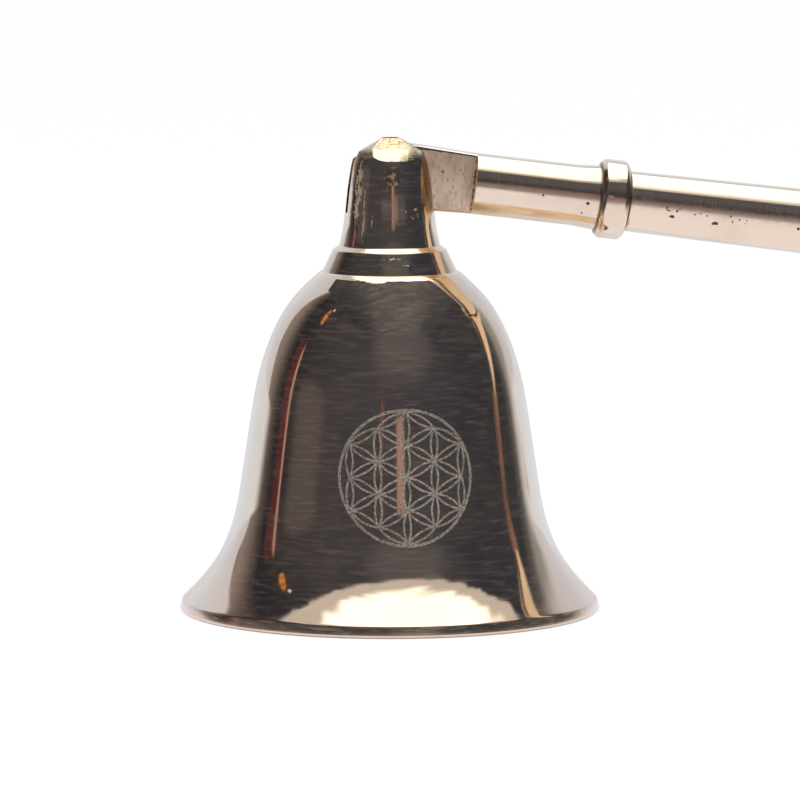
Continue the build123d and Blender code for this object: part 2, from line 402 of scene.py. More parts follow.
soften(shape, lip_corner, 60, at_rim, 4)
soften(shape, lip_edge_round, 25, at_lip_top)
soften(shape, crown_edge_round, 25, lambda place: place.z > brow_z - brow_height)
ripple(shape, ripple_height, ripple_length, lambda place: place.z > ripple_start)
ripple(shape, beaten_height, beaten_length, patch(*beaten_patch))
for values in brow_dents:
    dent(shape, *values)
for face in shape.faces:
    centre = face.calc_center_median()
    out = face.normal.x * centre.x + face.normal.y * centre.y
    if out < 0 or face.normal.z < -0.9:
        face.material_index = 1
    elif centre.z < lip_height:
        face.material_index = 2
polished = brass("polished champagne brass", champagne, 0.05, haze=0.045, film=0.04)
inside = brass("turned brass", turned_brass, 0.24, lines=14.0, haze=0.2)
lip_brass = brass("worn lip brass with painted shade", lip_champagne, 0.2, lines=0.2, haze=0.02, film=0.13)
tree = lip_brass.node_tree
x, y, z = axes(tree, millimetres(tree))
# The lip darkens towards its bottom edge: painted shade where it meets the table.
lay_colour(tree, fade(tree, z, 0.24, 0.10), lip_painted_shade, "MULTIPLY")
piece(shape, "bell_cup", "head", ["bell"], [polished, inside, lip_brass])

# Engraving
# A ring of interlaced petals marked on the bell's front by laser: thin frosted lines, a hundredth of a
# millimetre proud of the polish. The petals' three directions and the ring differ a little in height where
# they cross.
engraving_height = 15.95
engraving_bearing = 1.0
engraving_squash = 0.98
ring_radius = 7.27
ring_line = 0.30
petal_pitch = 3.46
petal_arc = radians(48)
petal_line = 0.21
mark_depth = 0.04
mark_rise = 0.010
petal_layer = 0.002
mark_dark = (0.38, 0.32, 0.22, 1)
mark_light = (1.0, 0.86, 0.62, 1)


def flat_arc(shape, centre, radius, width, start, angle, steps, level):
    """A flat curved strip at a level, spun round its centre."""
    ends = []
    for reach in (radius - width / 2, radius + width / 2):
        place = Vector((centre[0] + reach * cos(start), centre[1] + reach * sin(start), level))
        ends.append(shape.verts.new(place))
    edge = shape.edges.new(ends)
    bmesh.ops.spin(
        shape, geom=ends + [edge], cent=(*centre, level), axis=(0, 0, 1), angle=angle, steps=steps,
        use_merge=angle == 2 * pi
    )


shape = bmesh.new()
flat_arc(shape, (0, 0), ring_radius - ring_line / 2, ring_line, 0, 2 * pi, 144, mark_rise + 3 * petal_layer)
joints = []
for turn in range(6):
    angle = radians(60 * turn + 30)
    for share, way in ((1, angle), (2, angle), (sqrt(3), angle + pi / 6)):
        joints.append((share * petal_pitch * cos(way), share * petal_pitch * sin(way)))
joints.append((0, 0))
arc_radius = petal_pitch / 2 / sin(petal_arc / 2)
arc_offset = arc_radius * cos(petal_arc / 2)
for first in joints:
    for last in joints:
        across, up = last[0] - first[0], last[1] - first[1]
        if abs(hypot(across, up) - petal_pitch) < touching:
            way = atan2(up, across)
            centre = (
                (first[0] + last[0]) / 2 + arc_offset * sin(way),
                (first[1] + last[1]) / 2 - arc_offset * cos(way),
            )
            level = mark_rise + petal_layer * (round(degrees(way) / 60) % 3)
            start = way + pi / 2 - petal_arc / 2
            flat_arc(shape, centre, arc_radius, petal_line, start, petal_arc, 12, level)
bmesh.ops.recalc_face_normals(shape, faces=shape.faces)
for face in shape.faces:
    if face.normal.z < 0:
        face.normal_flip()
bmesh.ops.solidify(shape, geom=shape.faces[:], thickness=mark_depth)
skin = np.array(outer_curve)
for vert in shape.verts:
    height = engraving_height + vert.co.y * engraving_squash
    reach = np.interp(height, skin[:, 1], skin[:, 0])
    angle = vert.co.x / reach + radians(engraving_bearing)
    vert.co = Vector(((reach + vert.co.z) * sin(angle), -(reach + vert.co.z) * cos(angle), height))
frosted = brass("laser frosted brass", mark_light, 0.55, lines=0.0, haze=0.0)
tree = frosted.node_tree
grain = noise_on(tree, millimetres(tree), 2.0, 6.0)
feed(tree, "Base Color", tint(tree, fade(tree, grain, 0.36, 0.62), mark_dark, mark_light))
relief(tree, grain, 0.03)
piece(shape, "petal_ring_engraving", "head", [], [frosted])

# Slotted post
# The yoke on the crown: turned in one with its stepped foot and threaded spigot, then slotted with a saw for
# the handle's tongue, drilled for the pin and filed over its top by hand. The spigot goes through the crown.
foot_radius = 7.15
foot_height = 2.3
foot_top_radius = 6.05
ledge_height = 0.43
stem_radius = 5.4
stem_height = 10.1
cap_edge_radius = 3.6
cap_height = 1.35
cap_top_radius = 1.5
pin_height = 10.35
slot_depth = 4.05
slot_width = 2.4
pin_hole = 1.01
spigot_radius = 2.5
spigot_length = 7.4
stem_outline_shares = (
    (0.128, 0.941),
    (0.337, 0.887),
    (0.565, 0.846),
    (0.763, 0.795),
    (0.910, 0.738),
)
foot_step = 0.15
stem_step = 0.2
post_turns = 260
foot_edge_round = 0.08
post_ripple_height = 0.004
post_ripple_length = 1.6
# Places roughened by casting and filing: height and length of the ripple, then the patch as on the bell
rough_patches = (
    (0.075, 0.4, (-4, 38.1, 1.4, 0.5)),
    (0.075, 0.4, (-22, 37.3, 1.2, 0.6)),
    (0.075, 0.4, (13, 37.25, 1.7, 0.6)),
    (0.05, 0.35, (26, 42.4, 1.0, 0.6)),
    (0.03, 0.45, (-54, 43.0, 1.1, 4.0)),
)
# Flats filed on the top: bearing, tilt, and radius and height of a point on each
facets = (
    (-8, 48.7, 3.98, 48.2),
    (4, 48.7, 3.98, 48.2),
    (16, 48.0, 3.98, 48.2),
    (28, 44.0, 3.98, 48.2),
    (43, 37.0, 3.98, 48.25),
    (-47, 38.0, 4.02, 48.25),
    (180, 49.0, 4.00, 48.2),
    (125, 47.0, 4.05, 48.3),
    (-122, 50.0, 4.00, 48.1),
)
# File marks, as bearing and height of the middle and their halves
file_marks = (
    (-52.5, 44.9, 7.0, 3.2),
    (-40.0, 41.5, 2.0, 1.9),
    (-40.5, 44.0, 1.0, 1.3),
    (-28.3, 41.9, 1.0, 0.75),
    (17.0, 42.9, 2.0, 0.16),
    (25.0, 42.3, 3.0, 0.20),
    (33.0, 42.5, 2.5, 0.30),
    (30.0, 43.1, 3.0, 0.14),
)
# Painted shade on the post's right side beside the tongue, as bearing and height of the middle and its
# halves
painted_shade_mark = (64.0, 46.3, 15.0, 3.9)
post_painted_shade = (0.27, 0.19, 0.13, 1)
cap_champagne = (0.88, 0.71, 0.45, 1)
cap_gold = (0.75, 0.60, 0.30, 1)
cap_pit = (0.10, 0.08, 0.04, 1)
tool_reach = 9
overrun = 1
stem_z = bell_height + foot_height + ledge_height
pin_z = bell_height + pin_height
cap_top_z = stem_z + stem_height + cap_height
crosswise = Matrix.Rotation(pi / 2, 4, "X")


def cut(shape, tools):
    """Cuts closed shapes out of a closed shape, both in millimetres."""
    made = [add_object("cut", mesh_of(part, "cut")) for part in [shape] + tools]
    for tool in made[1:]:
        modifier = made[0].modifiers.new("cut", "BOOLEAN")
        modifier.object = tool
        modifier.operation = "DIFFERENCE"
        modifier.solver = "EXACT"
    bpy.context.view_layer.update()
    result = bmesh.new()
    result.from_mesh(made[0].evaluated_get(bpy.context.evaluated_depsgraph_get()).to_mesh())
    for one in made:
        mesh = one.data
        bpy.data.objects.remove(one)
        bpy.data.meshes.remove(mesh)
    return result


def block(low, high):
    """A closed box between two corners."""
    shape = bmesh.new()
    size = Vector(high) - Vector(low)
    matrix = Matrix.Translation((Vector(high) + Vector(low)) / 2) @ Matrix.Diagonal(size.to_4d())
    bmesh.ops.create_cube(shape, size=1, matrix=matrix)
    return shape


def rod(radius, low, high, place, turns=64):
    """A closed cylinder round the placed Z axis between two heights."""
    shape = lathe([(0, low), (radius, low), (radius, high), (0, high)], turns)
    bmesh.ops.transform(shape, matrix=place, verts=shape.verts)
    return shape


stem = [(stem_radius, stem_z)]
stem += [(share * stem_radius, stem_z + high * stem_height) for high, share in stem_outline_shares]
stem += [(cap_edge_radius, stem_z + stem_height)]
spigot_end = bell_height - spigot_length
foot = [(0, spigot_end), (spigot_radius, spigot_end), (spigot_radius, bell_height)]
foot += curve_through([(foot_radius, bell_height), (foot_top_radius, bell_height + foot_height)], foot_step)
stem_curve = curve_through(stem, stem_step)
shape = lathe(foot + stem_curve + [(cap_top_radius, cap_top_z), (0, cap_top_z)], post_turns)
soften(shape, foot_edge_round, 25, lambda place: abs(place.z - stem_z) < foot_height / 2)
ripple(shape, post_ripple_height, post_ripple_length, lambda place: place.z > bell_height)
for height, length, place in rough_patches:
    ripple(shape, height, length, patch(*place))
up = Vector((0, 0, 1))
for bearing, tilt, radius, height in facets:
    out = Vector((sin(radians(bearing)), -cos(radians(bearing)), 0))
    result = bmesh.ops.bisect_plane(
        shape, geom=shape.verts[:] + shape.edges[:] + shape.faces[:], dist=0.0001,
        plane_co=out * radius + up * height, plane_no=out * cos(radians(tilt)) + up * sin(radians(tilt)),
        clear_outer=True
    )
    rim = [item for item in result["geom_cut"] if isinstance(item, bmesh.types.BMEdge)]
    made = bmesh.ops.contextual_create(shape, geom=rim)
    for face in made["faces"]:
        face.material_index = 1
bmesh.ops.recalc_face_normals(shape, faces=shape.faces)
slot_low = (-tool_reach, -slot_width / 2, pin_z - slot_depth)
slot_tool = block(slot_low, (tool_reach, slot_width / 2, cap_top_z + overrun))
hole_tool = rod(pin_hole, -tool_reach, tool_reach, Matrix.Translation((0, 0, pin_z)) @ crosswise)
shape = cut(shape, [slot_tool, hole_tool])


def worn(tree, flat_place, marks, ragged=0.3):
    """1 inside small ovals with ragged edges on a flat place, each given as its middle and its halves."""
    blur = noise_on(tree, millimetres(tree), 2.0, 3.0)
    found = 0.0
    for across, up, half_across, half_up in marks:
        off = node(tree, "VectorMath", {0: flat_place, 1: (across, up, 0)}, operation="SUBTRACT").outputs[0]
        size = (1 / half_across, 1 / half_up, 0)
        off = node(tree, "VectorMath", {0: off, 1: size}, operation="MULTIPLY").outputs[0]
        reach = node(tree, "VectorMath", {0: off}, operation="LENGTH").outputs["Value"]
        reach = calc(tree, "MULTIPLY_ADD", blur, 4 * ragged, calc(tree, "ADD", reach, -2 * ragged))
        found = calc(tree, "MAXIMUM", found, fade(tree, reach, 1.1, 0.8))
    return found


def bearing_on(tree, x, y):
    """Degrees round the upright axis, 0 at the front and positive to the right."""
    return calc(tree, "DEGREES", calc(tree, "ARCTAN2", x, times(tree, y, -1.0)))


def round_place(tree):
    """The bearing in degrees and the height in millimetres as a flat place, and the height again."""
    x, y, z = axes(tree, millimetres(tree))
    return node(tree, "CombineXYZ", {0: bearing_on(tree, x, y), 1: z}).outputs[0], z


post_brass = brass("filed post brass", champagne, 0.06, haze=0.12)
tree = post_brass.node_tree
flat, z = round_place(tree)
filed = worn(tree, flat, file_marks, 0.35)
mottle = noise_on(tree, stretched(tree, millimetres(tree), (2.2, 2.2, 1.1)), 3.0)
filed = times(tree, filed, fade(tree, mottle, 0.38, 0.58))
add_roughness(tree, filed, 0.3)
strip_metal(tree, filed, 0.28)
# Painted shade where the tongue stands beside the post.
lay_colour(tree, times(tree, worn(tree, flat, (painted_shade_mark,), 0.15), 0.85), post_painted_shade)
cap_brass = brass("filed cap brass", cap_champagne, 0.16, lines=3.0, haze=0.3)
tree = cap_brass.node_tree
flat, z = round_place(tree)
grain = noise_on(tree, millimetres(tree), 3.0, 3.2)
coarse = times(tree, fade(tree, z, 49.1, 49.7), fade(tree, grain, 0.42, 0.6))
add_roughness(tree, coarse, 0.3)
lay_colour(tree, coarse, cap_gold)
lay_colour(tree, times(tree, fade(tree, z, 49.2, 49.6), fade(tree, grain, 0.40, 0.34)), cap_pit)
piece(shape, "yoke_post", "head", ["slotted_post"], [post_brass, cap_brass])

# Washer and nut
# Plain stock parts inside the crown that pull the post down on the bell. They stay the solids of the frame,
# and only get their finish.
stock = brass("stock fixing brass", turned_brass, 0.3, lines=5.0, haze=0.2)
for name in ("post_washer", "post_nut"):
    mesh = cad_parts[name].data
    mesh.materials.clear()
    mesh.materials.append(stock)

# Pivot pin
# A length of round brass wire through both cheeks, hammered over and filed flush, so that its ends
# follow the post's skin.
pin_radius = 1.0
pin_sink = 0.02
pin_dents = 0.05
pin_dent_length = 0.55
pin_ring_shares = (0, 0.2, 0.4, 0.6, 0.75, 0.88, 0.96, 1)
pin_champagne = (0.87, 0.69, 0.44, 1)
pin_gold = (0.74, 0.58, 0.26, 1)
rings = [pin_radius * share for share in pin_ring_shares]
half = [(radius, stem_radius) for radius in rings]
shape = lathe([(radius, -height) for radius, height in half] + half[::-1], 64)
bmesh.ops.transform(shape, matrix=Matrix.Translation((0, 0, pin_z)) @ crosswise, verts=shape.verts)
skin = np.array(stem_curve)
for vert in shape.verts:
    reach = np.interp(vert.co.z, skin[:, 1], skin[:, 0])
    off = hypot(vert.co.x, vert.co.z - pin_z) / pin_radius
    hammered = pin_dents * noise.noise(vert.co / pin_dent_length) - pin_sink * (0.4 + off**6)
    vert.co.y = (sqrt(reach**2 - vert.co.x**2) + hammered) * (1 if vert.co.y > 0 else -1)
pin_brass = brass("pin wire brass", pin_champagne, 0.1, turn=(pi / 2, 0, 0), film=0.04)
tree = pin_brass.node_tree
flat, z = round_place(tree)
lay_colour(tree, worn(tree, flat, ((-6.5, pin_z, 5.5, 0.75),), 0.25), pin_gold)
piece(shape, "riveted_pin", "head", ["pivot_pin"], [pin_brass])

# Handle neck
# The front length of the handle: a round rod, sawn and filed flat on two sides into a tongue with an eye.
eye_radius = 3.6
tongue_thickness = 2.2
tongue_length = 9.0
neck_radius = 3.25
neck_flare_radius = 3.45
neck_flare_length = 2.4
collar_width = 3.05
collar_radius = 4.22
collar_chamfer = 0.45
collar_seat_radius = 2.95
neck_collar_start = 22.4
joint_radius = 2.0
joint_length = 10.0
droop = radians(6.904)
eye_bore = 1.05
tongue_bevel = 0.22
handle_turns = 160
# Pits and nicks, as place along the handle, height and their halves
neck_pits = ((16.20, -0.23, 0.11, 0.13), (21.03, -0.52, 0.18, 0.20), (20.56, -1.65, 0.09, 0.09))
tongue_nicks = (
    (5.5, 0.9, 0.22, 0.12),
    (7.4, 1.3, 0.06, 0.22),
    (7.67, 0.92, 0.06, 0.2),
    (6.77, -0.6, 0.07, 0.2),
    (6.55, -1.1, 0.06, 0.16),
    (6.15, 0.1, 0.06, 0.12),
)
pit_black = (0.10, 0.065, 0.045, 1)
seam_tarnish = (0.33, 0.22, 0.14, 1)
painted_golden_reflection = (0.88, 0.62, 0.36, 1)
tongue_metal = 0.8
tongue_raw = (0.87, 0.635, 0.43, 1)
tongue_pale = (0.98, 0.77, 0.53, 1)
tongue_speckle = (0.52, 0.34, 0.25, 1)
nick_brown = (0.17, 0.11, 0.085, 1)
painted_edge_shade = (0.17, 0.115, 0.09, 1)
hung = Matrix.Translation((0, 0, pin_z)) @ Matrix.Rotation(droop, 4, "Y") @ Matrix.Rotation(pi / 2, 4, "Y")
collar_joint = neck_collar_start + collar_width / 2
section = [
    (0, -eye_radius),
    (eye_radius, -eye_radius),
    (eye_radius, 0),
    (neck_radius, tongue_length),
    (neck_radius, neck_collar_start - neck_flare_length),
    (neck_flare_radius, neck_collar_start),
    (collar_seat_radius, neck_collar_start),
    (collar_seat_radius, collar_joint),
    (joint_radius, collar_joint),
    (joint_radius, collar_joint + joint_length),
    (0, collar_joint + joint_length),
]
shape = lathe(section, handle_turns)
side_tools = []
for way in (-1, 1):
    near, far = sorted((way * tongue_thickness / 2, way * (eye_radius + overrun)))
    side_tools.append(block((-tool_reach, near, -tool_reach), (tool_reach, far, tongue_length)))
eye_tool = rod(eye_bore, -tool_reach, tool_reach, crosswise)
end_block = block((-tool_reach, -eye_radius, -tool_reach), (tool_reach, eye_radius, 0))
end_round = rod(eye_radius, -tool_reach, tool_reach, crosswise, 96)
end_tool = cut(end_block, [end_round])
shape = cut(shape, side_tools + [eye_tool, end_tool])
flat_edges = []
for edge in shape.edges:
    low, high = sorted(vert.co.z for vert in edge.verts)
    on_flat = all(abs(abs(vert.co.y) - tongue_thickness / 2) < touching for vert in edge.verts)
    if on_flat and high - low > 1 and abs(edge.verts[0].co.x) > 2 * eye_bore:
        flat_edges.append(edge)
bmesh.ops.bevel(
    shape, geom=flat_edges, offset=tongue_bevel, segments=2, profile=0.5, affect="EDGES", material=-1
)
for face in shape.faces:
    if abs(face.normal.y) > 0.99 and face.calc_center_median().z < tongue_length:
        face.material_index = 1
ring_turn = (0, -pi / 2 - droop, 0)


def along_handle(tree):
    """The place in millimetres, with X from the pin along the handle, Y to the back and Z up."""
    raised = node(tree, "Mapping", {"Vector": millimetres(tree), "Location": (0, 0, -pin_z)}).outputs[0]
    return node(tree, "Mapping", {"Vector": raised, "Rotation": (0, -droop, 0)}).outputs[0]


def side_place(tree):
    """The distance from the pin and the height on the handle, as a flat place, and the two by themselves."""
    x, y, z = axes(tree, along_handle(tree))
    return node(tree, "CombineXYZ", {0: x, 1: z}).outputs[0], x, z


def pits(tree, marks):
    """Casting pits: dark, rough and dull."""
    sunk = worn(tree, side_place(tree)[0], marks, 0.35)
    lay_colour(tree, sunk, pit_black)
    add_roughness(tree, sunk, 0.4)
    strip_metal(tree, sunk, 0.4)


def seam(tree, place_along, reach):
    """Tarnish in the corner beside a collar."""
    off = apart(tree, side_place(tree)[1], place_along)
    ragged = calc(tree, "MULTIPLY_ADD", noise_on(tree, millimetres(tree), 3.0, 2.0), -0.8 * reach, off)
    dirty = fade(tree, ragged, 0.6 * reach, 0.0)
    lay_colour(tree, dirty, seam_tarnish)
    add_roughness(tree, dirty, 0.2)


def rubbed(tree, high, low, amount):
    """A rougher lane along the handle between two heights, where the polishing wheel slipped."""
    up = side_place(tree)[2]
    patchy = noise_on(tree, stretched(tree, along_handle(tree), (0.9, 1.6, 2.8)), 3.0)
    lane = times(tree, fade(tree, up, high, high - 0.5), fade(tree, up, low, low + 1.0))
    add_roughness(tree, times(tree, lane, fade(tree, patchy, 0.3, 0.6, 0.55, 1.0)), amount)


neck_brass = brass("polished neck brass", champagne, 0.05, turn=ring_turn, haze=0.06, film=0.02)
tree = neck_brass.node_tree
rubbed(tree, 0.9, -1.6, 0.13)
flat, along, up = side_place(tree)
# Low on the neck by the tongue the brass is rougher and less metallic, and the golden colour there is a
# painted reflection.
dulled_with_painted_reflection = times(tree, fade(tree, along, 13.5, 10.5), fade(tree, up, -1.7, -2.2))
add_roughness(tree, dulled_with_painted_reflection, 0.25)
strip_metal(tree, dulled_with_painted_reflection, 0.4)
lay_colour(tree, dulled_with_painted_reflection, painted_golden_reflection)
pits(tree, neck_pits)
seam(tree, neck_collar_start, 0.22)
tongue_brass = brass("filed tongue brass", tongue_raw, 0.42, turn=ring_turn, lines=6.0, haze=0.2)
tree = tongue_brass.node_tree
flat, along, up = side_place(tree)
shade = noise_on(tree, stretched(tree, along_handle(tree), (0.9, 0.9, 0.28)), 3.0)
feed(tree, "Base Color", tint(tree, fade(tree, shade, 0.36, 0.64), tongue_raw, tongue_pale))
feed(tree, "Metallic", times(tree, fed(tree, "Metallic"), tongue_metal))
speckle = noise_on(tree, stretched(tree, along_handle(tree), (2.6, 2.6, 1.0)), 2.0)
lay_colour(tree, times(tree, fade(tree, speckle, 0.52, 0.66), 0.5), tongue_speckle)
lay_colour(tree, times(tree, worn(tree, flat, tongue_nicks, 0.3), 0.8), nick_brown)
# Dark ragged lines at the tongue's shoulder and along its top edge are painted shade.
border = calc(tree, "MULTIPLY_ADD", noise_on(tree, millimetres(tree), 2.0, 2.4), 0.5, along)
corner = fade(tree, border, tongue_length + 0.10, tongue_length + 0.28)
edge = calc(tree, "MULTIPLY_ADD", noise_on(tree, millimetres(tree), 2.0, 1.6), 0.35, up)
lay_colour(tree, calc(tree, "MAXIMUM", corner, fade(tree, edge, 3.10, 3.22)), painted_edge_shade)
piece(shape, "tongue_neck", "handle", ["handle_neck"], [neck_brass, tongue_brass], hung)

# Collars
# Two turned rings that slide over the joints of the handle and are brazed there; they are alike.
braze_clearance = 0.02
collar_edge_round = 0.12
collar_seam_reach = 0.12
shank_length = 59.0
grip_length = 99.5
shank_end = collar_joint + shank_length
grip_end = shank_end + grip_length
end_collar_start = grip_end - collar_width / 2


def collar(start):
    """Section of one collar, closed round its bore."""
    bore = collar_seat_radius + braze_clearance
    end = start + collar_width
    return [
        (bore, start),
        (collar_radius - collar_chamfer, start),
        (collar_radius, start + collar_chamfer),
        (collar_radius, end - collar_chamfer),
        (collar_radius - collar_chamfer, end),
        (bore, end),
    ]


collar_brass = brass("collar brass", champagne, 0.06, turn=ring_turn, haze=0.08, film=0.02)
rubbed(collar_brass.node_tree, 0.6, -1.8, 0.12)
for start in (neck_collar_start, end_collar_start):
    for side in (start, start + collar_width):
        seam(collar_brass.node_tree, side, collar_seam_reach)
for name, start in (("neck_collar", neck_collar_start), ("end_collar", end_collar_start)):
    shape = lathe(collar(start), handle_turns)
    soften(shape, collar_edge_round, 25, None, 3)
    piece(shape, name + "_ring", "handle", [name], [collar_brass], hung)

# Shank
# The brass rod from the neck collar to the grip. It swells slowly outwards, and its casting left a few pits.
shank_start_radius = 3.22
shank_middle_radius = 3.54
shank_end_radius = 3.72
groove_width = 0.55
groove_depth = 0.18
groove_middle = 0.2
groove_middle_depth = 0.04
groove_step = 0.1
swell_step = 0.65
shank_edge_round = 0.12
shank_pits = (
    (29.55, -0.12, 0.09, 0.20),
    (29.78, -0.33, 0.22, 0.07),
    (30.20, -0.95, 0.30, 0.17),
    (30.65, -0.30, 0.10, 0.16),
    (30.95, -0.05, 0.12, 0.06),
    (32.60, -0.45, 0.10, 0.07),
    (33.20, -0.25, 0.18, 0.05),
    (33.91, -0.42, 0.12, 0.09),
    (34.87, -1.14, 0.40, 0.20),
    (36.44, -0.20, 0.10, 0.12),
    (36.71, -0.76, 0.07, 0.18),
    (37.42, -0.45, 0.09, 0.08),
    (38.22, -0.46, 0.08, 0.07),
    (38.10, -0.80, 0.07, 0.06),
    (36.40, 1.60, 0.12, 0.05),
    (43.81, -0.71, 0.16, 0.17),
    (51.00, 0.60, 0.20, 0.15),
    (63.00, -1.00, 0.15, 0.20),
)
shank_start = neck_collar_start + collar_width
swell = curve_through([
    (shank_start_radius, shank_start + groove_width),
    (shank_middle_radius, (shank_start + shank_end) / 2),
    (shank_end_radius, shank_end),
], swell_step)
section = [(0, collar_joint), (collar_seat_radius, collar_joint), (collar_seat_radius, shank_start)]
section += curve_through([
    (shank_start_radius - groove_depth, shank_start),
    (shank_start_radius - groove_middle_depth, shank_start + groove_middle),
    swell[0],
], groove_step)
section += swell[1:] + [(0, shank_end)]
shape = lathe(section, handle_turns)
soften(shape, shank_edge_round, 40, lambda place: place.z > shank_end - touching)
shank_brass = brass("cast shank brass", champagne, 0.05, turn=ring_turn, haze=0.06, film=0.02)
tree = shank_brass.node_tree
rubbed(tree, 1.5, -1.4, 0.2)
pits(tree, shank_pits)
seam(tree, shank_start, 0.2)
piece(shape, "shank_rod", "handle", ["handle_shank"], [shank_brass], hung)

# Grip
# Reddish-brown hardwood, turned with a bead between two grooves, oiled, and glued on the shank's spigot.
grip_start_radius = 3.95
grip_start_chamfer = 0.35
grip_thickest_radius = 6.1
grip_end_radius = 3.2
bead_width = 3.4
bead_rise = 0.3
bead_groove_width = 0.7
bead_groove_depth = 0.6
bead_place_share = 0.5
grip_front_shares = (
    (0.28, 0.790),
    (0.62, 0.925),
    (1.00, 0.985),
)
grip_back_shares = (
    (0.00, 0.985),
    (0.38, 1.000),
    (0.72, 0.840),
)
grip_step = 0.7
bead_step = 0.25
bead_edge_round = 0.15
grip_ripple_height = 0.02
grip_ripple_length = 6.0
# The tree's rings have their middle this far in front of the grip's axis and below it
heart_offset = (0, 2.2, 14.5)
wood_early = (0.30, 0.142, 0.102, 1)
wood_late = (0.125, 0.054, 0.043, 1)
wood_fibre = (0.42, 0.235, 0.175, 1)
wood_pore = (0.04, 0.018, 0.012, 1)
front_start = shank_end + grip_start_chamfer
back_end = end_collar_start - groove_width
bead_middle = shank_end + (end_collar_start - shank_end) * bead_place_share
bead_start, bead_end = bead_middle - bead_width / 2, bead_middle + bead_width / 2
front_end, back_start = bead_start - bead_groove_width, bead_end + bead_groove_width
front_half = [(grip_start_radius, front_start)]
for share, radius in grip_front_shares:
    front_half.append((radius * grip_thickest_radius, front_start + share * (front_end - front_start)))
back_half = []
for share, radius in grip_back_shares:
    back_half.append((radius * grip_thickest_radius, back_start + share * (back_end - back_start)))
back_half.append((grip_end_radius, back_end))
shoulder_radius = front_half[-1][0]
floor_radius = shoulder_radius - bead_groove_depth
bead = [(floor_radius, bead_start), (shoulder_radius + bead_rise, bead_middle), (floor_radius, bead_end)]
section = [(0, shank_end), (grip_start_radius - grip_start_chamfer, shank_end)]
section += curve_through(front_half, grip_step)
section += curve_through(bead, bead_step)
section += curve_through(back_half, grip_step)
section += [(grip_end_radius - groove_depth, end_collar_start - groove_width + groove_depth)]
section += [(grip_end_radius - groove_depth, end_collar_start), (collar_seat_radius, end_collar_start)]
section += [(collar_seat_radius, grip_end), (0, grip_end)]


def span(tree, first, second):
    """The length of two steps at a right angle."""
    return calc(tree, "SQRT", calc(tree, "ADD", times(tree, first, first), times(tree, second, second)))


shape = lathe(section, 128)
soften(shape, bead_edge_round, 25, lambda place: bead_start - 1 < place.z < bead_end + 1)
ripple(shape, grip_ripple_height, grip_ripple_length, lambda place: shank_end + 1 < place.z < back_end - 1)
oiled, tree = new_material("oiled hardwood")
along = along_handle(tree)
bent = noise_on(tree, stretched(tree, along, (0.03, 0.12, 0.12)), 2.0)
grown = node(tree, "VectorMath", {0: along, 1: heart_offset}, operation="ADD").outputs[0]
x, y, z = axes(tree, grown)
ring = calc(tree, "MULTIPLY_ADD", bent, 2.2, times(tree, span(tree, y, z), 0.7))
growth = fade(tree, apart(tree, calc(tree, "FRACT", ring), 0.5), 0.5, 0.12)
fibre = noise_on(tree, stretched(tree, along, (0.25, 5.0, 5.0)), 4.0)
pores = fade(tree, noise_on(tree, stretched(tree, along, (0.5, 9.0, 9.0)), 1.0), 0.66, 0.72)
feed(tree, "Base Color", tint(tree, growth, wood_early, wood_late))
lay_colour(tree, fade(tree, fibre, 0.35, 0.7, 0.0, 0.6), wood_fibre)
lay_colour(tree, times(tree, pores, 0.8), wood_pore)
feed(tree, "Roughness", fade(tree, fibre, 0.3, 0.7, 0.36, 0.50))
relief(tree, calc(tree, "MULTIPLY_ADD", pores, -1.5, fibre), 0.03)
shader = tree.nodes["Principled BSDF"]
shader.inputs["Coat Weight"].default_value = 0.25
shader.inputs["Coat Roughness"].default_value = 0.15
piece(shape, "turned_wood_grip", "handle", ["handle_grip"], [oiled], hung)

# End knob
# A small turned finial that closes the far end of the grip.
knob_radius = 5.2
knob_cove_radius = 2.3
knob_cove_length = 3.2
knob_tip_radius = 1.5
knob_tip_length = 1.3
knob_tip_chamfer = 0.5
knob_spigot = 0.5
cove_step = 0.15
ball_steps = 60
knob_start = end_collar_start + collar_width
ball_start = knob_start + knob_cove_length
ball_centre = ball_start + sqrt(knob_radius**2 - knob_cove_radius**2)
tip_start = ball_centre + sqrt(knob_radius**2 - knob_tip_radius**2)
tip_end = tip_start + knob_tip_length
cove_middle = ((knob_cove_radius + grip_end_radius) / 2 - groove_depth, knob_start + knob_cove_length / 2)
cove = curve_through([(grip_end_radius, knob_start), cove_middle, (knob_cove_radius, ball_start)], cove_step)
section = [(0, knob_start - knob_spigot), (collar_seat_radius, knob_start - knob_spigot)]
section += [(collar_seat_radius, knob_start)] + cove
first = atan2(ball_start - ball_centre, knob_cove_radius)
last = atan2(tip_start - ball_centre, knob_tip_radius)
for step in range(1, ball_steps):
    angle = first + (last - first) * step / ball_steps
    section.append((knob_radius * cos(angle), ball_centre + knob_radius * sin(angle)))
section += [(knob_tip_radius, tip_start), (knob_tip_radius, tip_end - knob_tip_chamfer)]
section += [(knob_tip_radius - knob_tip_chamfer, tip_end), (0, tip_end)]
shape = lathe(section, 128)
piece(shape, "finial_knob", "handle", ["end_knob"], [shank_brass], hung)

# Studio
# A pale table under the snuffer and a plain white room with one dark opening in front, which the brass
# mirrors. Bearings and heights are in degrees, and a colour passes 1 where the brass mirrors a bright thing.
table_size = 3.0
paper_grey = (0.9, 0.9, 0.9, 1)
paper_glow = 1.03
paper_glow_share = 0.9
table_front = (0.94, 0.97, 1.20, 1)
table_front_far = (0.28, 0.25, 0.31, 1)
table_behind = (0.76, 0.88, 1.12, 1)
table_beside = (0.06, 0.062, 0.085, 1)
neutral = (0.75, 0.76, 0.775, 1)


def straight_behind(tree, bearing):
    """1 straight behind the object as the camera sees it, which the outermost edges of the brass mirror."""
    return calc(tree, "MAXIMUM", fade(tree, bearing, 147, 163), fade(tree, bearing, -158, -174))


def blend(tree, share, first, second):
    """Two shaders mixed."""
    return node(tree, "MixShader", {0: share, 1: first.outputs[0], 2: second.outputs[0]})


def set_surface(tree, kind, shader):
    """Wires a shader to a new output of a material or the world."""
    tree.links.new(shader.outputs[0], node(tree, kind).inputs["Surface"])


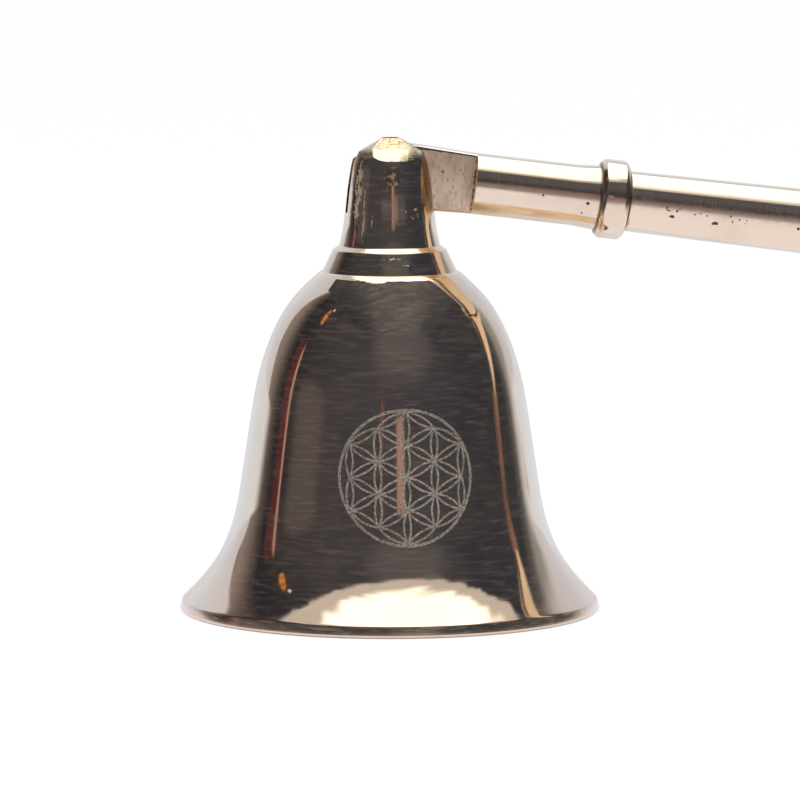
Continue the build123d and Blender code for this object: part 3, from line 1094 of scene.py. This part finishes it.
table_shape = bmesh.new()
bmesh.ops.create_grid(table_shape, x_segments=1, y_segments=1, size=table_size)
table = add_object("table", mesh_of(table_shape, "table"))
paper, tree = new_material("table paper")
tree.nodes.clear()
x, y, z = axes(tree, node(tree, "TexCoord").outputs["Object"])
bearing = bearing_on(tree, x, y)
far = span(tree, x, y)
back_band = fade(tree, calc(tree, "ABSOLUTE", bearing), 122, 132)
lit = calc(tree, "MAXIMUM", fade(tree, apart(tree, bearing, 5.0), 35, 25), back_band)
lit = calc(tree, "MAXIMUM", lit, fade(tree, far, 0.20, 0.10))
in_mirror = tint(tree, fade(tree, far, 0.42, 0.16), table_front_far, table_front)
in_mirror = tint(tree, back_band, in_mirror, table_behind)
in_mirror = tint(tree, straight_behind(tree, bearing), in_mirror, neutral)
in_mirror = tint(tree, lit, table_beside, in_mirror)
rays = node(tree, "LightPath").outputs
shaded = node(tree, "BsdfDiffuse", {"Color": paper_grey})
glow = node(tree, "Emission", {"Color": (1, 1, 1, 1), "Strength": paper_glow})
seen = blend(tree, times(tree, rays["Is Camera Ray"], paper_glow_share), shaded, glow)
mirrored = node(tree, "Emission", {"Color": in_mirror})
set_surface(tree, "OutputMaterial", blend(tree, rays["Is Glossy Ray"], seen, mirrored))
table.data.materials.append(paper)

# A black card over the front of the dome keeps the softbox out of it. Only rays that are mirrored for the
# first time meet it, and its inner edge is torn.
card_inner_radius = 7.9
card_outer_radius = 17.6
card_bottom = 37.0
card_top = 37.02
card_left = -8.7
card_right = 8.75
card_tones = ((0.100, 0.107, 0.140, 1), (0.042, 0.045, 0.066, 1), (0.056, 0.062, 0.088, 1))
card_veil = (0.17, 0.18, 0.225, 1)
inner_edge = [(card_inner_radius, card_bottom), (card_inner_radius, card_top)]
outer_edge = [(card_outer_radius, card_bottom), (card_outer_radius, card_top)]
card_shape = lathe([inner_edge[0], *outer_edge, inner_edge[1]], 96)
bmesh.ops.transform(card_shape, matrix=Matrix.Scale(mm, 4), verts=card_shape.verts)
flag = add_object("black card", mesh_of(card_shape, "black card"))
for ray in ("camera", "diffuse", "transmission", "volume_scatter", "shadow"):
    setattr(flag, "visible_" + ray, False)
card, tree = new_material("black card")
tree.nodes.clear()
flat = scaled(tree, millimetres(tree), (1, 1, 0))
x, y, z = axes(tree, flat)
reach = node(tree, "VectorMath", {0: flat}, operation="LENGTH").outputs["Value"]
way = node(tree, "VectorMath", {0: flat}, operation="NORMALIZE").outputs[0]
tear = calc(tree, "MULTIPLY_ADD", noise_on(tree, way, 3.0, 5.0), 1.1, 7.05)
tear = calc(tree, "ADD", tear, fade(tree, apart(tree, x, -2.2), 2.6, 0.3, 0.0, 0.45))
front_edge = calc(tree, "MULTIPLY_ADD", calc(tree, "GREATER_THAN", x, 2.0), -2.7, -4.0)
there = fade(tree, calc(tree, "SUBTRACT", reach, tear), -0.10, 0.20)
there = times(tree, there, calc(tree, "GREATER_THAN", x, card_left))
there = times(tree, there, calc(tree, "LESS_THAN", x, card_right))
there = times(tree, there, calc(tree, "LESS_THAN", y, front_edge))
there = times(tree, there, calc(tree, "LESS_THAN", node(tree, "LightPath").outputs["Glossy Depth"], 1.5))
tone = tint(tree, fade(tree, x, -1, -8), card_tones[0], card_tones[1])
tone = tint(tree, fade(tree, x, 3, 7.5), tone, card_tones[2])
veil = fade(tree, noise_on(tree, scaled(tree, flat, (0.35, 1.6, 1)), 3.0), 0.4, 0.7)
veil = times(tree, veil, fade(tree, calc(tree, "ABSOLUTE", x), 6, 2))
black = node(tree, "Emission", {"Color": tint(tree, veil, tone, card_veil)})
set_surface(tree, "OutputMaterial", blend(tree, there, node(tree, "BsdfTransparent"), black))
flag.data.materials.append(card)

world = bpy.data.worlds.new("white room")
bpy.context.scene.world = world
world.use_nodes = True
world.cycles.sampling_method = "NONE"
tree = world.node_tree
tree.nodes.clear()
x, y, z = axes(tree, node(tree, "TexCoord").outputs["Generated"])
bearing = bearing_on(tree, x, y)
away = calc(tree, "ABSOLUTE", bearing)
height = calc(tree, "DEGREES", calc(tree, "ARCSINE", z))


def strip(middle, half, soft):
    """1 where the bearing is within half of the middle, fading over soft degrees."""
    return fade(tree, apart(tree, bearing, middle), half + soft / 2, half - soft / 2)


def between(low, high, soft):
    """1 where the height above the horizon is between two angles."""
    return times(tree, fade(tree, height, low, low + soft), fade(tree, height, high, high - soft))


def power(off, exponent):
    """The size of a value raised to a power."""
    return calc(tree, "POWER", calc(tree, "ABSOLUTE", off), exponent)


def oval(across, up, sharpness, start, end):
    """1 inside an oval of two distances, fading between two reaches."""
    return fade(tree, calc(tree, "ADD", power(across, sharpness), power(up, sharpness)), start, end)


def blob(middle, half, level, rise, soft=0.25):
    """1 inside an oval of bearing and height."""
    across = calc(tree, "DIVIDE", apart(tree, bearing, middle), half)
    up = calc(tree, "DIVIDE", apart(tree, height, level), rise)
    return oval(across, up, 2.5, 1 + soft, 1 - soft)


def flickering(scale, detail):
    """Noise that changes with the height alone."""
    inputs = {"W": height, "Scale": scale, "Detail": detail}
    return node(tree, "TexNoise", inputs, noise_dimensions="1D").outputs[0]


# The room's walls are white and a little cool, brighter away from the camera
wall = tint(tree, fade(tree, away, 130, 178), (0.64, 0.69, 0.89, 1), (0.78, 0.91, 1.18, 1))
straight = times(tree, straight_behind(tree, bearing), fade(tree, height, 15, 5))
wall = tint(tree, straight, wall, neutral)
# In front they open to a dark room, with a pale brown screen at the left end of the opening
shades = (
    (-139.0, (0.05, 0.045, 0.046, 1)),
    (-137.5, (0.30, 0.275, 0.31, 1)),
    (-128.0, (0.20, 0.18, 0.205, 1)),
    (-119.0, (0.078, 0.070, 0.085, 1)),
    (-113.0, (0.026, 0.028, 0.044, 1)),
    (-100.0, (0.030, 0.031, 0.048, 1)),
    (-86.0, (0.041, 0.043, 0.063, 1)),
    (-60.0, (0.054, 0.057, 0.084, 1)),
    (0.0, (0.056, 0.061, 0.089, 1)),
    (35.0, (0.050, 0.057, 0.088, 1)),
    (60.0, (0.038, 0.044, 0.070, 1)),
    (108.0, (0.036, 0.042, 0.066, 1)),
    (115.0, (0.10, 0.11, 0.135, 1)),
    (121.0, (0.30, 0.33, 0.38, 1)),
)
narrowed = times(tree, bearing, fade(tree, height, 20, 45, 1.0, 0.93))
turned_by = node(tree, "MapRange", {"Value": narrowed, "From Min": -180, "From Max": 180}).outputs[0]
ramp = node(tree, "ValToRGB", {0: turned_by})
points = ramp.color_ramp.elements
while len(points) < len(shades):
    points.new(0.5)
for point, (where, colour) in zip(points, shades):
    point.position = where / 360 + 0.5
    point.color = colour
dark_room = tint(tree, blob(8.0, 30.0, 43.0, 18.0, 0.95), ramp.outputs[0], (0.100, 0.106, 0.142, 1))
shelf = times(tree, blob(-78.0, 14.0, 8.0, 9.0, 0.9), 0.9)
dark_room = tint(tree, shelf, dark_room, (0.100, 0.095, 0.118, 1))
low = calc(tree, "MAXIMUM", calc(tree, "MULTIPLY_ADD", height, -0.75, 9.0), 0.0)
wide = calc(tree, "DIVIDE", calc(tree, "ADD", apart(tree, bearing, -7.0), low), 132.0)
tall = calc(tree, "DIVIDE", calc(tree, "MAXIMUM", calc(tree, "SUBTRACT", height, 8.0), 0.0), 56.0)
soft_side = times(tree, oval(wide, tall, 4.0, 1.30, 0.95), fade(tree, bearing, 0, 1))
opening = calc(tree, "MAXIMUM", soft_side, oval(wide, tall, 4.0, 1.03, 0.98))
# A small orange light stands in it, tilted and flickering
tilted = calc(tree, "MULTIPLY_ADD", height, 0.35, calc(tree, "ADD", bearing, 82.5))
tilted = calc(tree, "DIVIDE", tilted, 2.7)
flame = oval(tilted, calc(tree, "DIVIDE", calc(tree, "SUBTRACT", height, 43.0), 5.5), 2.5, 1.3, 0.7)
flame_colour = fade(tree, flickering(0.5, 1.0), 0.4, 0.6)
flame_colour = tint(tree, flame_colour, (0.30, 0.12, 0.03, 1), (0.72, 0.33, 0.07, 1))
# So do a pale post, a thin light, a low sill and the line of a lamp
post_light = times(tree, strip(3.2, 3.0, 0.6), between(4.5, 13.5, 1.0))
post_light = times(tree, post_light, fade(tree, flickering(4.0, 2.0), 0.36, 0.52, 0.45, 1.0))
thin_light = times(tree, strip(-11.5, 0.8, 0.8), between(9.0, 18.0, 5.0))
low_sill = times(tree, strip(10.0, 5.5, 1.5), between(3.6, 8.6, 0.8))
lamp_line = calc(tree, "MAXIMUM", strip(-8.0, 6.5, 1.0), strip(7.0, 5.0, 1.0))
lamp_line = times(tree, times(tree, lamp_line, between(46.2, 47.0, 0.3)), 0.3)
# The pale table shows as a band in front and behind
table_light = tint(tree, fade(tree, away, 60, 110), table_front, table_behind)
table_light = tint(tree, fade(tree, away, 90, 60), table_light, table_front_far)
table_light = tint(tree, straight, table_light, neutral)
over_horizon = calc(tree, "SUBTRACT", height, fade(tree, away, 60, 90, 8.0, 3.9))
table_band = calc(tree, "MAXIMUM", strip(5.0, 30.0, 10.0), fade(tree, away, 122, 132))
table_band = times(tree, table_band, fade(tree, over_horizon, 0.0, fade(tree, away, 60, 90, -6.0, -0.7)))
# A softbox hangs over the object, with a dimmer rim and streaks
over = calc(tree, "MAXIMUM", z, 0.05)
along = calc(tree, "DIVIDE", calc(tree, "SUBTRACT", calc(tree, "DIVIDE", x, over), 0.12), 0.68)
across = calc(tree, "SUBTRACT", calc(tree, "DIVIDE", y, over), 0.15)
across = calc(tree, "DIVIDE", across, fade(tree, across, -0.02, 0.02, 0.86, 1.23))
panel = node(tree, "CombineXYZ", {0: x, 1: y}).outputs[0]
streaky = noise_on(tree, scaled(tree, panel, (2.0, 11.0, 1)), 3.0)
box = calc(tree, "ADD", calc(tree, "ADD", power(along, 2.3), power(across, 2.3)), -0.35)
box = calc(tree, "MULTIPLY_ADD", streaky, 0.7, box)
# What is mirrored twice mostly comes from the white side of the room
twice = calc(tree, "GREATER_THAN", node(tree, "LightPath").outputs["Glossy Depth"], 1.5)
twice = times(tree, twice, fade(tree, height, 15, 35, 0.0, 0.6))
layers = (
    (opening, dark_room),
    # A red lampshade and its bright rim
    (blob(-105.0, 5.0, 14.0, 12.0), (0.085, 0.030, 0.045, 1)),
    (blob(-100.4, 1.1, 13.0, 12.0, 0.6), (0.55, 0.34, 0.33, 1)),
    (flame, flame_colour),
    (blob(-96.0, 0.9, 50.0, 1.0), (1.3, 1.3, 1.2, 1)),
    (post_light, (0.50, 0.30, 0.29, 1)),
    (thin_light, (0.32, 0.12, 0.13, 1)),
    (low_sill, (0.26, 0.19, 0.17, 1)),
    (lamp_line, (0.34, 0.30, 0.20, 1)),
    (table_band, table_light),
    (fade(tree, box, 1.10, 0.90), (0.62, 0.62, 0.68, 1)),
    (fade(tree, box, 0.60, 0.38), (1.86, 1.90, 2.10, 1)),
    (twice, (0.90, 0.93, 1.1, 1)),
)
room = wall
for mask, colour in layers:
    room = tint(tree, mask, room, colour)
rays = node(tree, "LightPath").outputs
mirrored = node(tree, "Background", {"Color": room})
plain = node(tree, "Background", {"Color": (0.75, 0.75, 0.75, 1)})
white = node(tree, "Background", {"Color": (1, 1, 1, 1)})
unseen = blend(tree, rays["Is Glossy Ray"], plain, mirrored)
set_surface(tree, "OutputWorld", blend(tree, rays["Is Camera Ray"], unseen, white))

softbox = bpy.data.lights.new("softbox", "AREA")
softbox.shape = "SQUARE"
softbox.size = 0.5
softbox.energy = 2.6
lamp = add_object("softbox", softbox)
lamp.location = (0.05, -0.15, 0.8)
lamp.rotation_euler = (radians(-10), 0, 0)
lamp.visible_glossy = False
lamp.visible_camera = False

# Camera
# A long lens a little above the crown and a little to the left of the bell's front.
camera_bearing = radians(-5.5)
camera_distance = 580.0
camera_height = 84.85
aim_side = 1.1
aim_height = 22.45
focal_share = 5463 / 800
sensor = 36.0
camera_data = bpy.data.cameras.new("camera")
camera_data.sensor_width = sensor
camera_data.lens = sensor * focal_share
camera = add_object("camera", camera_data)
side, front = sin(camera_bearing), cos(camera_bearing)
eye = Vector((camera_distance * side, -camera_distance * front, camera_height)) * mm
aim = Vector((aim_side * front, aim_side * side, aim_height)) * mm
camera.location = eye
camera.rotation_euler = (aim - eye).to_track_quat("-Z", "Y").to_euler()
bpy.context.scene.camera = camera
bpy.context.scene.view_settings.view_transform = "Standard"
